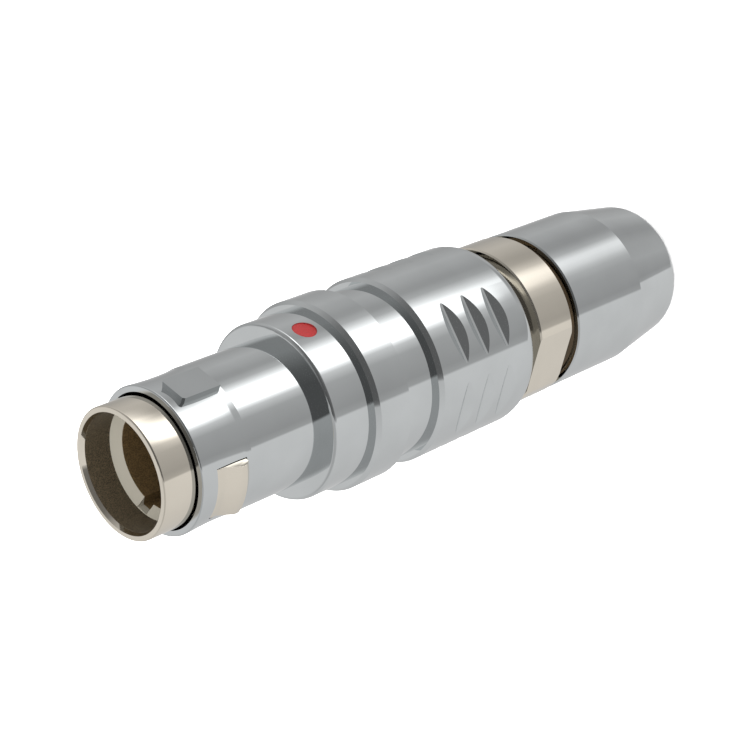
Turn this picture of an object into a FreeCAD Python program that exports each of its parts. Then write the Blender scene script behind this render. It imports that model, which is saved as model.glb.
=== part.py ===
import FreeCAD, Part
import math
import os

# Push pull circular plug, standing on the flat end of its back nut.
# The main axis is Z, the mouth points up, the key pad and the dot lie toward +X
# and the two latch lugs toward +Y and -Y. All lengths are millimetres.

# Lengths along the axis, from the rear end to the mouth
NUT_LENGTH = 16.0
NUT_TO_COLLAR = 0.77
COLLAR_LENGTH = 4.33
RELEASE_TRAVEL = 1.0
RELEASE_END_GAP = 0.1
GRIP_LENGTH = 12.18
NECK_LENGTH = 3.57
MIDDLE_RING_LENGTH = 3.61
DOT_RING_LENGTH = 3.94
NOSE_LENGTH = 11.97
GUIDE_REACH = 2.93

# Socket and guide sleeve
SOCKET_BORE_RADIUS = 3.91
MOUTH_BORE_STEP = 0.75
MOUTH_BORE_DEPTH = 2.67
MOUTH_CONE_LENGTH = 0.64
MOUTH_BEVEL_WIDTH = 0.14
MOUTH_BEVEL_DEPTH = 0.35
GUIDE_EDGE_BEVEL = 0.15
GUIDE_HEAD_LENGTH = 3.2
GUIDE_RELIEF_DEPTH = 0.3
GUIDE_RELIEF_REACH = 0.15
GUIDE_WALL = 0.94
FINGER_CHANNEL_WALL = 0.5
GUIDE_FLANGE_WIDTH = 0.75
GUIDE_FLANGE_LENGTH = 1.2
KEYWAY_WIDTH = 1.1
KEYWAY_DEPTH = 0.7
KEYWAY_LENGTH = 6.2

# Latch sleeve and its two fingers
FINGER_THICKNESS = 0.34
LATCH_FLANGE_LENGTH = 2.4
LATCH_TUBE_LENGTH = 10.8
FINGER_ROOT_ABOVE_FLANGE = 1.05
LUG_HEIGHT = 1.19
LUG_REAR_DROP = 0.3
LUG_REAR_BEVEL_LENGTH = 0.4
LUG_TOP_LENGTH = 0.43
LUG_RAMP_LENGTH = 1.25
LUG_FRONT_RISE = 0.04
FINGER_TIP_GAP = 0.25
BEVEL_SLOPE = 0.42

# Outer shell
NOSE_WALL = 0.5
NOSE_WAIST = 0.11
NOSE_WAIST_REAR_RISE = 0.04
NOSE_LIP = 0.02
NOSE_LIP_LENGTH = 0.22
NOSE_LIP_ROUND = 0.2
NOSE_STEP_LENGTH = 7.15
NOSE_STEP_BEVEL = 0.48
DOT_RING_WALL = 0.82
DOT_RING_ROUND = 0.33
GRIP_WALL = 1.5
GRIP_BEVEL_DEPTH = 0.27
GRIP_BEVEL_LENGTH = 0.39
GRIP_REAR_ROUND = 1.46
CHAMBER_WALL_LENGTH = 0.97
LAND_LENGTH = 2.7

# Windows for the lugs, key pad and alignment dot
WINDOW_WIDTH = 4.7
WINDOW_LENGTH = 2.88
WINDOW_BELOW_FRONT = 1.49
KEY_WIDTH = 2.4
KEY_LENGTH = 3.5
KEY_HEIGHT = 0.36
KEY_ROOT_DEPTH = 0.33
KEY_CORNER_BEVEL = 0.24
KEY_BELOW_FRONT = 1.07
DOT_DIAMETER = 2.0
DOT_POCKET_DEPTH = 0.35
DOT_RECESS = 0.12
DOT_ABOVE_RING = 1.94

# Grooves of the grip, cut as straight chords across its sides
GROOVE_DEPTH = 0.45
GROOVE_HALF_WIDTH = 0.9
GROOVE_FLOOR_HALF_WIDTH = 0.1
GROOVE_PITCH = 2.475
GROOVE_ROWS = 3
GROOVE_LAST_ABOVE_REAR = 3.95
GROOVE_AZIMUTHS = (40.0, 90.0, 140.0, -40.0, -90.0, -140.0)

# Body with the wrench collar, spigot and rear thread
CARRIER_RADIUS = 5.15
SPIGOT_WALL = 1.0
SPIGOT_LENGTH = 12.9
LEDGE_WIDTH = 0.8
LEDGE_THICKNESS = 1.0
LEDGE_BELOW_COLLAR_TOP = 0.9
THREAD_WALL = 1.4
THREAD_LENGTH = 9.47
THREAD_END_BEVEL = 0.3
THREAD_RELIEF_WIDTH = 0.9
THREAD_RELIEF_DEPTH = 0.35
COLLAR_STEP = 0.65
COLLAR_BEVEL = 0.25
FLAT_STEP = 0.05

# Stop ring and shell seal on the spigot
STOP_GROOVE_DEPTH = 0.35
STOP_RING_RADIAL = 0.38
STOP_RING_THICKNESS = 0.96
STOP_RING_ABOVE_COLLAR = 8.97
STOP_RING_SPLIT = 1.5
SEAL_THICKNESS = 0.96
SEAL_BEVEL = 0.25
SEAL_GROOVE_WIDTH = 1.3
SEAL_ABOVE_COLLAR = 4.6

# Insert: carriers, insulator and contact pins
CARRIER_BORE_RADIUS = 3.7
CARRIER_RECESS_DEPTH = 4.0
INSULATOR_LENGTH = 19.4
PIN_TAIL_RADIUS = 0.45
PIN_TIP_RADIUS = 0.35
PIN_REACH = 4.0
PIN_TIP_ROUND = 0.25
PIN_TIP_DROP = 0.18
PIN_TAIL_REACH = 3.0
SOLDER_CUP_RADIUS = 0.3
SOLDER_CUP_DEPTH = 1.8
OUTER_PIN_COUNT = 8
OUTER_PIN_CIRCLE = 2.75
INNER_PIN_COUNT = 2
INNER_PIN_CIRCLE = 0.95

# Cable clamp inside the back nut
COLLET_BORE_RADIUS = 3.3
CABLE_WAY_RADIUS = 3.6
CONE_FLANGE_LENGTH = 0.85
CONE_NECK_LENGTH = 2.1
CONE_NECK_RADIUS = 4.4
CONE_TIP_RADIUS = 3.95
SEAL_TO_COLLET = 0.35
COLLET_HEAD_RADIUS = 5.45
COLLET_HEAD_LENGTH = 4.3
COLLET_CONE_LENGTH = 3.0
COLLET_CONE_DROP = 0.55
COLLET_SLOT_WIDTH = 0.8
COLLET_SLOT_COUNT = 4
COLLET_UNCUT_LENGTH = 1.6
WASHER_THICKNESS = 0.5
WASHER_BORE_STEP = 0.4

# Back nut
NUT_WALL = 0.53
NUT_END_WALL = 1.85
NUT_BORE_RADIUS = 3.75
NUT_BORE_BEVEL = 0.3
NUT_CYLINDER_LENGTH = 8.97
NUT_TAPER_DEGREES = 8.97
NUT_REAR_ROUND = 1.1
NUT_FRONT_BEVEL = 0.12
NUT_SHOULDER_GAP = 0.4

# Clearances
SLIDE_FIT = 0.05
THREAD_FIT = 0.08
ASSEMBLY_FIT = 0.02
SEAT_FIT = 0.05
CONE_FIT = 0.1
SIGHT_GAP = 0.18
LAND_FIT = 0.06
CHAMBER_FIT = 0.3
FINGER_FIT = 0.07
LUG_SIDE_GAP = 0.12
CHANNEL_SIDE_GAP = 0.1
LUG_WEDGE_GAP = 0.06

# Heights worked out from the lengths
COLLAR_REAR = NUT_LENGTH + NUT_TO_COLLAR
COLLAR_FRONT = COLLAR_REAR + COLLAR_LENGTH
GRIP_REAR = COLLAR_FRONT + RELEASE_END_GAP + RELEASE_TRAVEL
GRIP_FRONT = GRIP_REAR + GRIP_LENGTH
NECK_FRONT = GRIP_FRONT + NECK_LENGTH
MIDDLE_RING_FRONT = NECK_FRONT + MIDDLE_RING_LENGTH
DOT_RING_FRONT = MIDDLE_RING_FRONT + DOT_RING_LENGTH
NOSE_FRONT = DOT_RING_FRONT + NOSE_LENGTH
MOUTH = NOSE_FRONT + GUIDE_REACH
SPIGOT_FRONT = COLLAR_FRONT + SPIGOT_LENGTH
LATCH_FLANGE_FRONT = SPIGOT_FRONT + LATCH_FLANGE_LENGTH
FINGER_ROOT = LATCH_FLANGE_FRONT + FINGER_ROOT_ABOVE_FLANGE
GUIDE_HEAD_REAR = MOUTH - GUIDE_HEAD_LENGTH
WINDOW_FRONT = NOSE_FRONT - WINDOW_BELOW_FRONT
WINDOW_REAR = WINDOW_FRONT - WINDOW_LENGTH
FINGER_TIP = GUIDE_HEAD_REAR - FINGER_TIP_GAP
THREAD_REAR = COLLAR_REAR - THREAD_LENGTH
LEDGE_FRONT = COLLAR_FRONT - LEDGE_BELOW_COLLAR_TOP
LEDGE_REAR = LEDGE_FRONT - LEDGE_THICKNESS
STOP_RING_REAR = COLLAR_FRONT + STOP_RING_ABOVE_COLLAR
INSULATOR_REAR = SPIGOT_FRONT - CARRIER_RECESS_DEPTH
INSULATOR_FRONT = INSULATOR_REAR + INSULATOR_LENGTH
WASHER_REAR = NUT_END_WALL + SEAT_FIT
COLLET_REAR = WASHER_REAR + WASHER_THICKNESS
COLLET_CONE_REAR = COLLET_REAR + COLLET_HEAD_LENGTH
COLLET_FRONT = COLLET_CONE_REAR + COLLET_CONE_LENGTH
CONE_TIP = LEDGE_REAR - SEAT_FIT - CONE_FLANGE_LENGTH - CONE_NECK_LENGTH

# Radii worked out from the walls and clearances
GUIDE_NECK_RADIUS = SOCKET_BORE_RADIUS + GUIDE_WALL
FINGER_CHANNEL_RADIUS = SOCKET_BORE_RADIUS + FINGER_CHANNEL_WALL
FINGER_INNER_RADIUS = GUIDE_NECK_RADIUS + FINGER_FIT
FINGER_OUTER_RADIUS = FINGER_INNER_RADIUS + FINGER_THICKNESS
GUIDE_RADIUS = FINGER_OUTER_RADIUS
NOSE_BORE_RADIUS = GUIDE_RADIUS + SIGHT_GAP
NOSE_RADIUS = NOSE_BORE_RADIUS + NOSE_WALL
NOSE_WAIST_RADIUS = NOSE_RADIUS - NOSE_WAIST
LAND_RADIUS = FINGER_OUTER_RADIUS + LAND_FIT
BODY_BORE_RADIUS = CARRIER_RADIUS + SLIDE_FIT
SPIGOT_RADIUS = BODY_BORE_RADIUS + SPIGOT_WALL
SHELL_BORE_RADIUS = SPIGOT_RADIUS + SLIDE_FIT
CHAMBER_RADIUS = SPIGOT_RADIUS + CHAMBER_FIT
DOT_RING_RADIUS = CHAMBER_RADIUS + DOT_RING_WALL
GRIP_RADIUS = CHAMBER_RADIUS + GRIP_WALL
THREAD_RADIUS = BODY_BORE_RADIUS + THREAD_WALL
COLLAR_RADIUS = THREAD_RADIUS + COLLAR_STEP
NUT_THREAD_RADIUS = THREAD_RADIUS + THREAD_FIT
NUT_RADIUS = NUT_THREAD_RADIUS + NUT_WALL
FINGER_HALF_WIDTH = WINDOW_WIDTH / 2 - LUG_SIDE_GAP
CHANNEL_HALF_WIDTH = WINDOW_WIDTH / 2 + CHANNEL_SIDE_GAP

ORIGIN = FreeCAD.Vector(0, 0, 0)
AXIS = FreeCAD.Vector(0, 0, 1)
FAR = 4 * GRIP_RADIUS


def revolved(outline):
    """Turned solid from (radius, height) corners; four numbers give an arc's middle and end."""
    edges = []
    start = outline[-1][-2:]
    for step in outline:
        begin = FreeCAD.Vector(start[0], 0, start[1])
        end = FreeCAD.Vector(step[-2], 0, step[-1])
        if len(step) == 4:
            middle = FreeCAD.Vector(step[0], 0, step[1])
            edges.append(Part.Arc(begin, middle, end).toShape())
        else:
            edges.append(Part.LineSegment(begin, end).toShape())
        start = step[-2:]
    return Part.Face(Part.Wire(edges)).revolve(ORIGIN, AXIS, 360)


def tube(inner, outer, bottom, top):
    """Plain ring between two radii and two heights."""
    return revolved([(inner, bottom), (outer, bottom), (outer, top), (inner, top)])


def block(x_range, y_range, z_range):
    """Box between two corners, given as ranges along each axis."""
    corner = FreeCAD.Vector(x_range[0], y_range[0], z_range[0])
    return Part.makeBox(
        x_range[1] - x_range[0],
        y_range[1] - y_range[0],
        z_range[1] - z_range[0],
        corner,
    )


def turned_about_axis(shape, degrees):
    """Copy of a shape turned about the main axis."""
    copy = shape.copy()
    copy.rotate(ORIGIN, AXIS, degrees)
    return copy


def edges_at(shape, radius, height):
    """Full circles of one radius at one height."""
    found = []
    for edge in shape.Edges:
        box = edge.BoundBox
        level = abs(box.ZMin - height) < 1e-4 and abs(box.ZMax - height) < 1e-4
        if level and abs(box.XMax - radius) < 1e-3 and abs(box.XMin + radius) < 1e-3:
            found.append(edge)
    return found


def window_bevel_radius(height):
    """Radius of the sloped front wall of a window, which pushes the lug inward."""
    return NOSE_WAIST_RADIUS + NOSE_LIP - BEVEL_SLOPE * (height - WINDOW_FRONT)


# Front end

def guide_sleeve():
    """Front tube with the socket bore, its shoulder and keyway, and a flange at the rear."""
    mouth_radius = SOCKET_BORE_RADIUS + MOUTH_BORE_STEP
    shoulder = MOUTH - MOUTH_BORE_DEPTH
    flange_radius = GUIDE_NECK_RADIUS + GUIDE_FLANGE_WIDTH
    flange_front = SPIGOT_FRONT + GUIDE_FLANGE_LENGTH
    relief_radius = GUIDE_RADIUS - GUIDE_RELIEF_DEPTH
    sleeve = revolved([
        (SOCKET_BORE_RADIUS, SPIGOT_FRONT),
        (flange_radius, SPIGOT_FRONT),
        (flange_radius, flange_front),
        (GUIDE_NECK_RADIUS, flange_front),
        (GUIDE_NECK_RADIUS, GUIDE_HEAD_REAR),
        (relief_radius, GUIDE_HEAD_REAR),
        (relief_radius, NOSE_FRONT + GUIDE_RELIEF_REACH),
        (GUIDE_RADIUS, NOSE_FRONT + GUIDE_RELIEF_REACH),
        (GUIDE_RADIUS, MOUTH - GUIDE_EDGE_BEVEL),
        (GUIDE_RADIUS - GUIDE_EDGE_BEVEL, MOUTH),
        (mouth_radius + MOUTH_BEVEL_WIDTH, MOUTH),
        (mouth_radius, MOUTH - MOUTH_BEVEL_DEPTH),
        (mouth_radius, shoulder),
        (SOCKET_BORE_RADIUS, shoulder - MOUTH_CONE_LENGTH),
    ])
    keyway_outer = SOCKET_BORE_RADIUS + KEYWAY_DEPTH
    keyway = block(
        (-keyway_outer, 0),
        (-KEYWAY_WIDTH / 2, KEYWAY_WIDTH / 2),
        (shoulder - KEYWAY_LENGTH, shoulder + MOUTH_BEVEL_DEPTH),
    )
    channel_ring = tube(
        FINGER_CHANNEL_RADIUS,
        GUIDE_NECK_RADIUS + FINGER_THICKNESS,
        FINGER_ROOT,
        GUIDE_HEAD_REAR,
    )
    channels = channel_ring.common(block(
        (-CHANNEL_HALF_WIDTH, CHANNEL_HALF_WIDTH),
        (-FAR, FAR),
        (FINGER_ROOT, GUIDE_HEAD_REAR),
    ))
    return sleeve.cut([keyway, channels])


def latch_sleeve():
    """Sleeve that the fingers spring from, clamped by its flange on the front of the body."""
    counterbore_radius = GUIDE_NECK_RADIUS + GUIDE_FLANGE_WIDTH + SLIDE_FIT
    counterbore_front = SPIGOT_FRONT + GUIDE_FLANGE_LENGTH + ASSEMBLY_FIT
    tube_front = LATCH_FLANGE_FRONT + LATCH_TUBE_LENGTH
    sleeve = revolved([
        (counterbore_radius, SPIGOT_FRONT),
        (SPIGOT_RADIUS, SPIGOT_FRONT),
        (SPIGOT_RADIUS, LATCH_FLANGE_FRONT),
        (FINGER_OUTER_RADIUS, LATCH_FLANGE_FRONT),
        (FINGER_OUTER_RADIUS, tube_front),
        (FINGER_INNER_RADIUS, tube_front),
        (FINGER_INNER_RADIUS, counterbore_front),
        (counterbore_radius, counterbore_front),
    ])
    slots = block(
        (-CHANNEL_HALF_WIDTH, CHANNEL_HALF_WIDTH),
        (-FAR, FAR),
        (FINGER_ROOT - SEAT_FIT, tube_front + SEAT_FIT),
    )
    return sleeve.cut(slots)


def latch_finger(side):
    """Springing finger with its lug, whose front wedge lies under the window's sloped wall."""
    lug_radius = FINGER_OUTER_RADIUS + LUG_HEIGHT
    lug_rear = WINDOW_REAR + LUG_SIDE_GAP
    top_rear = lug_rear + LUG_REAR_BEVEL_LENGTH
    top_front = top_rear + LUG_TOP_LENGTH
    front_radius = NOSE_WAIST_RADIUS + LUG_FRONT_RISE
    bevel_start = window_bevel_radius(WINDOW_FRONT) - LUG_WEDGE_GAP
    wedge_rear = WINDOW_FRONT - (front_radius - bevel_start) / BEVEL_SLOPE
    tip_radius = window_bevel_radius(FINGER_TIP) - LUG_WEDGE_GAP
    ring = revolved([
        (FINGER_INNER_RADIUS, FINGER_ROOT),
        (FINGER_OUTER_RADIUS, FINGER_ROOT),
        (FINGER_OUTER_RADIUS, lug_rear),
        (lug_radius - LUG_REAR_DROP, lug_rear),
        (lug_radius, top_rear),
        (lug_radius, top_front),
        (front_radius, top_front + LUG_RAMP_LENGTH),
        (front_radius, wedge_rear),
        (tip_radius, FINGER_TIP),
        (FINGER_INNER_RADIUS, FINGER_TIP),
    ])
    y_range = (0, FAR)
    if side < 0:
        y_range = (-FAR, 0)
    return ring.common(block((-FINGER_HALF_WIDTH, FINGER_HALF_WIDTH), y_range, (0, MOUTH)))


# Outer shell

def shell_blank():
    """Turned shell: nose, dot ring, middle ring, neck and grip, with its stepped bore."""
    lip_radius = NOSE_RADIUS + NOSE_LIP
    nose_step = DOT_RING_FRONT + NOSE_STEP_LENGTH
    waist_rear = nose_step + NOSE_STEP_BEVEL
    lip_rear = NOSE_FRONT - NOSE_LIP_LENGTH
    waist_rear_radius = NOSE_WAIST_RADIUS + NOSE_WAIST_REAR_RISE
    chamber_front = DOT_RING_FRONT - CHAMBER_WALL_LENGTH
    land_rear = chamber_front + (CHAMBER_RADIUS - LAND_RADIUS) / 2
    land_front = land_rear + LAND_LENGTH
    shell = revolved([
        (SHELL_BORE_RADIUS, GRIP_REAR),
        (GRIP_RADIUS, GRIP_REAR),
        (GRIP_RADIUS, GRIP_FRONT - GRIP_BEVEL_LENGTH),
        (GRIP_RADIUS - GRIP_BEVEL_DEPTH, GRIP_FRONT),
        (DOT_RING_RADIUS, GRIP_FRONT),
        (DOT_RING_RADIUS, NECK_FRONT),
        (GRIP_RADIUS, NECK_FRONT),
        (GRIP_RADIUS, MIDDLE_RING_FRONT - GRIP_BEVEL_LENGTH),
        (GRIP_RADIUS - GRIP_BEVEL_DEPTH, MIDDLE_RING_FRONT),
        (DOT_RING_RADIUS, MIDDLE_RING_FRONT),
        (DOT_RING_RADIUS, DOT_RING_FRONT),
        (NOSE_RADIUS, DOT_RING_FRONT),
        (NOSE_RADIUS, nose_step),
        (waist_rear_radius, waist_rear),
        (NOSE_WAIST_RADIUS, (waist_rear + lip_rear) / 2, lip_radius, lip_rear),
        (lip_radius, NOSE_FRONT),
        (NOSE_BORE_RADIUS, NOSE_FRONT),
        (NOSE_BORE_RADIUS, land_front + NOSE_BORE_RADIUS - LAND_RADIUS),
        (LAND_RADIUS, land_front),
        (LAND_RADIUS, land_rear),
        (CHAMBER_RADIUS, chamber_front),
        (CHAMBER_RADIUS, STOP_RING_REAR - SEAT_FIT),
        (SHELL_BORE_RADIUS, STOP_RING_REAR - SEAT_FIT),
    ])
    shell = shell.makeFillet(NOSE_LIP_ROUND, edges_at(shell, lip_radius, NOSE_FRONT))
    shell = shell.makeFillet(DOT_RING_ROUND, edges_at(shell, DOT_RING_RADIUS, DOT_RING_FRONT))
    return shell.makeFillet(GRIP_REAR_ROUND, edges_at(shell, GRIP_RADIUS, GRIP_REAR))


def key_pad():
    """Raised pad on the nose that keys the plug in its socket."""
    pad_radius = NOSE_RADIUS + KEY_HEIGHT
    pad_front = NOSE_FRONT - KEY_BELOW_FRONT
    pad_rear = pad_front - KEY_LENGTH
    half_width = KEY_WIDTH / 2
    ring = tube(NOSE_RADIUS - KEY_ROOT_DEPTH, pad_radius, pad_rear, pad_front)
    pad = ring.common(block((0, FAR), (-half_width, half_width), (0, MOUTH)))
    corners = []
    for edge in pad.Edges:
        box = edge.BoundBox
        level = box.ZMin > pad_front - SEAT_FIT and box.YLength < SEAT_FIT
        if level and abs(abs(box.Center.y) - half_width) < SEAT_FIT:
            corners.append(edge)
    return pad.makeChamfer(KEY_CORNER_BEVEL, corners)


def lug_windows():
    """Windows for both lugs, with a front wall that slopes under the nose."""
    bevel_front = WINDOW_FRONT + (NOSE_WAIST_RADIUS + NOSE_LIP - NOSE_BORE_RADIUS) / BEVEL_SLOPE
    half_width = WINDOW_WIDTH / 2
    ring = revolved([
        (SOCKET_BORE_RADIUS, WINDOW_REAR),
        (GRIP_RADIUS, WINDOW_REAR),
        (GRIP_RADIUS, WINDOW_FRONT),
        (window_bevel_radius(WINDOW_FRONT), WINDOW_FRONT),
        (NOSE_BORE_RADIUS, bevel_front),
        (SOCKET_BORE_RADIUS, bevel_front),
    ])
    return ring.common(block((-half_width, half_width), (-FAR, FAR), (0, MOUTH)))


def grip_grooves():
    """Straight chord grooves across the grip, in rows along its length."""
    floor_radius = GRIP_RADIUS - GROOVE_DEPTH
    flare = (GROOVE_HALF_WIDTH - GROOVE_FLOOR_HALF_WIDTH) / GROOVE_DEPTH
    outer_radius = GRIP_RADIUS + GROOVE_DEPTH
    outer_half_width = GROOVE_FLOOR_HALF_WIDTH + flare * (outer_radius - floor_radius)
    cutters = []
    for row in range(GROOVE_ROWS):
        height = GRIP_REAR + GROOVE_LAST_ABOVE_REAR + row * GROOVE_PITCH
        corners = [
            FreeCAD.Vector(floor_radius, -GRIP_RADIUS, height - GROOVE_FLOOR_HALF_WIDTH),
            FreeCAD.Vector(outer_radius, -GRIP_RADIUS, height - outer_half_width),
            FreeCAD.Vector(outer_radius, -GRIP_RADIUS, height + outer_half_width),
            FreeCAD.Vector(floor_radius, -GRIP_RADIUS, height + GROOVE_FLOOR_HALF_WIDTH),
        ]
        section = Part.Face(Part.makePolygon(corners + corners[:1]))
        groove = section.extrude(FreeCAD.Vector(0, 2 * GRIP_RADIUS, 0))
        for azimuth in GROOVE_AZIMUTHS:
            cutters.append(turned_about_axis(groove, azimuth))
    return cutters


def dot_cylinder(inner, outer, clearance):
    """Short radial cylinder toward +X at the place of the alignment dot."""
    start = FreeCAD.Vector(inner, 0, MIDDLE_RING_FRONT + DOT_ABOVE_RING)
    radius = DOT_DIAMETER / 2 - clearance
    return Part.makeCylinder(radius, outer - inner, start, FreeCAD.Vector(1, 0, 0))


def outer_shell():
    """Whole release shell with windows, key pad, grip grooves and the dot's pocket."""
    pocket_floor = DOT_RING_RADIUS - DOT_POCKET_DEPTH
    shell = shell_blank().fuse(key_pad())
    shell = shell.cut(lug_windows())
    shell = shell.cut(grip_grooves())
    return shell.cut(dot_cylinder(pocket_floor, GRIP_RADIUS, 0)).removeSplitter()


def alignment_dot():
    """Coloured disc set in its pocket on the dot ring."""
    pocket_floor = DOT_RING_RADIUS - DOT_POCKET_DEPTH
    return dot_cylinder(pocket_floor, DOT_RING_RADIUS - DOT_RECESS, ASSEMBLY_FIT)


# Body

def collar_body():
    """Inner body: spigot in the shell, collar with wrench flats and the rear thread."""
    cone_radius = COLLET_HEAD_RADIUS + CONE_FIT
    cone_slope = COLLET_CONE_DROP / COLLET_CONE_LENGTH
    rear_bore = cone_radius - cone_slope * (THREAD_REAR - COLLET_CONE_REAR)
    cone_front = COLLET_CONE_REAR + (cone_radius - BODY_BORE_RADIUS) / cone_slope
    ledge_radius = BODY_BORE_RADIUS - LEDGE_WIDTH
    relief_radius = THREAD_RADIUS - THREAD_RELIEF_DEPTH
    relief_rear = COLLAR_REAR - THREAD_RELIEF_WIDTH
    body = revolved([
        (rear_bore, THREAD_REAR),
        (THREAD_RADIUS - THREAD_END_BEVEL, THREAD_REAR),
        (THREAD_RADIUS, THREAD_REAR + THREAD_END_BEVEL),
        (THREAD_RADIUS, relief_rear),
        (relief_radius, relief_rear),
        (relief_radius, COLLAR_REAR),
        (COLLAR_RADIUS - COLLAR_BEVEL, COLLAR_REAR),
        (COLLAR_RADIUS, COLLAR_REAR + COLLAR_BEVEL),
        (COLLAR_RADIUS, COLLAR_FRONT - COLLAR_BEVEL),
        (COLLAR_RADIUS - COLLAR_BEVEL, COLLAR_FRONT),
        (SPIGOT_RADIUS, COLLAR_FRONT),
        (SPIGOT_RADIUS, SPIGOT_FRONT),
        (BODY_BORE_RADIUS, SPIGOT_FRONT),
        (BODY_BORE_RADIUS, LEDGE_FRONT),
        (ledge_radius, LEDGE_FRONT),
        (ledge_radius, LEDGE_REAR),
        (BODY_BORE_RADIUS, LEDGE_REAR),
        (BODY_BORE_RADIUS, cone_front),
    ])
    flat_distance = THREAD_RADIUS + FLAT_STEP
    flats = []
    for side in (1, -1):
        flat = block((-FAR, FAR), (flat_distance, FAR), (COLLAR_REAR, COLLAR_FRONT))
        flats.append(turned_about_axis(flat, 90 - 90 * side))
    seal_rear = COLLAR_FRONT + SEAL_ABOVE_COLLAR - SEAL_GROOVE_WIDTH / 2
    seal_groove = tube(seal_groove_radius(), FAR, seal_rear, seal_rear + SEAL_GROOVE_WIDTH)
    stop_groove = tube(
        SPIGOT_RADIUS - STOP_GROOVE_DEPTH,
        FAR,
        STOP_RING_REAR - ASSEMBLY_FIT,
        STOP_RING_REAR + STOP_RING_THICKNESS + ASSEMBLY_FIT,
    )
    return body.cut(flats + [seal_groove, stop_groove])


def seal_groove_radius():
    """Floor of the seal's groove, from the thickness of the seal under the shell."""
    return SHELL_BORE_RADIUS - ASSEMBLY_FIT - SEAL_THICKNESS


def shell_seal():
    """Square sealing ring with bevelled corners between spigot and shell."""
    inner = seal_groove_radius()
    outer = inner + SEAL_THICKNESS
    middle = COLLAR_FRONT + SEAL_ABOVE_COLLAR
    rear = middle - SEAL_THICKNESS / 2
    front = middle + SEAL_THICKNESS / 2
    return revolved([
        (inner + SEAL_BEVEL, rear),
        (outer - SEAL_BEVEL, rear),
        (outer, rear + SEAL_BEVEL),
        (outer, front - SEAL_BEVEL),
        (outer - SEAL_BEVEL, front),
        (inner + SEAL_BEVEL, front),
        (inner, front - SEAL_BEVEL),
        (inner, rear + SEAL_BEVEL),
    ])


def stop_ring():
    """Split spring ring on the spigot that stops the shell at its forward end."""
    outer = CHAMBER_RADIUS - THREAD_FIT
    front = STOP_RING_REAR + STOP_RING_THICKNESS
    ring = tube(outer - STOP_RING_RADIAL, outer, STOP_RING_REAR, front)
    half_split = STOP_RING_SPLIT / 2
    return ring.cut(block((-FAR, 0), (-half_split, half_split), (0, MOUTH)))


# Insert

def insert_carrier(side):
    """One half of the split carrier that holds the insulator in the body."""
    recess_radius = SOCKET_BORE_RADIUS
    carrier = revolved([
        (CARRIER_BORE_RADIUS, LEDGE_FRONT + ASSEMBLY_FIT),
        (CARRIER_RADIUS, LEDGE_FRONT + ASSEMBLY_FIT),
        (CARRIER_RADIUS, SPIGOT_FRONT - ASSEMBLY_FIT),
        (recess_radius, SPIGOT_FRONT - ASSEMBLY_FIT),
        (recess_radius, INSULATOR_REAR),
        (CARRIER_BORE_RADIUS, INSULATOR_REAR),
    ])
    x_range = (ASSEMBLY_FIT / 2, FAR)
    if side < 0:
        x_range = (-FAR, -ASSEMBLY_FIT / 2)
    return carrier.common(block(x_range, (-FAR, FAR), (0, MOUTH)))


def pin_places():
    """Centres of all contact pins: an outer circle and an inner pair."""
    places = []
    for count, circle in ((OUTER_PIN_COUNT, OUTER_PIN_CIRCLE), (INNER_PIN_COUNT, INNER_PIN_CIRCLE)):
        for number in range(count):
            angle = 2 * math.pi * (number + 0.5) / count
            places.append((circle * math.cos(angle), circle * math.sin(angle)))
    return places


def insulator():
    """Round insulator with one hole for each contact pin."""
    radius = SOCKET_BORE_RADIUS - SLIDE_FIT
    start = FreeCAD.Vector(0, 0, INSULATOR_REAR + ASSEMBLY_FIT)
    body = Part.makeCylinder(radius, INSULATOR_LENGTH - ASSEMBLY_FIT, start, AXIS)
    holes = []
    for x, y in pin_places():
        foot = FreeCAD.Vector(x, y, INSULATOR_REAR - ASSEMBLY_FIT)
        hole_radius = PIN_TAIL_RADIUS + ASSEMBLY_FIT
        holes.append(Part.makeCylinder(hole_radius, INSULATOR_LENGTH + 2 * ASSEMBLY_FIT, foot, AXIS))
    return body.cut(holes)


def contact_pin(place):
    """Turned pin with a rounded tip and a solder cup at its tail."""
    tail = INSULATOR_REAR - PIN_TAIL_REACH
    tip = INSULATOR_FRONT + PIN_REACH
    pin = revolved([
        (0, tail + SOLDER_CUP_DEPTH),
        (SOLDER_CUP_RADIUS, tail + SOLDER_CUP_DEPTH),
        (SOLDER_CUP_RADIUS, tail),
        (PIN_TAIL_RADIUS, tail),
        (PIN_TAIL_RADIUS, INSULATOR_FRONT - SEAT_FIT),
        (PIN_TIP_RADIUS, INSULATOR_FRONT + SEAT_FIT),
        (PIN_TIP_RADIUS, tip - PIN_TIP_ROUND),
        (PIN_TIP_RADIUS - PIN_TIP_DROP, tip),
        (0, tip),
    ])
    pin.translate(FreeCAD.Vector(place[0], place[1], 0))
    return pin


# Cable clamp and back nut

def earthing_cone():
    """Flanged cone that grips the cable's shield, seated behind the ledge of the body."""
    flange_front = LEDGE_REAR - SEAT_FIT
    flange_rear = flange_front - CONE_FLANGE_LENGTH
    return revolved([
        (CABLE_WAY_RADIUS, CONE_TIP),
        (CONE_TIP_RADIUS, CONE_TIP),
        (CONE_NECK_RADIUS, flange_rear),
        (CARRIER_RADIUS, flange_rear),
        (CARRIER_RADIUS, flange_front),
        (CABLE_WAY_RADIUS, flange_front),
    ])


def cable_seal():
    """Rubber sleeve round the cable, behind the earthing cone."""
    rear = COLLET_FRONT + SEAL_TO_COLLET
    return tube(CABLE_WAY_RADIUS, CARRIER_RADIUS, rear, CONE_TIP - SEAT_FIT)


def clamp_washer():
    """Thin washer that the nut turns on while it pushes the collet."""
    bore = NUT_BORE_RADIUS + WASHER_BORE_STEP
    return tube(bore, COLLET_HEAD_RADIUS, WASHER_REAR, COLLET_REAR)


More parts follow.
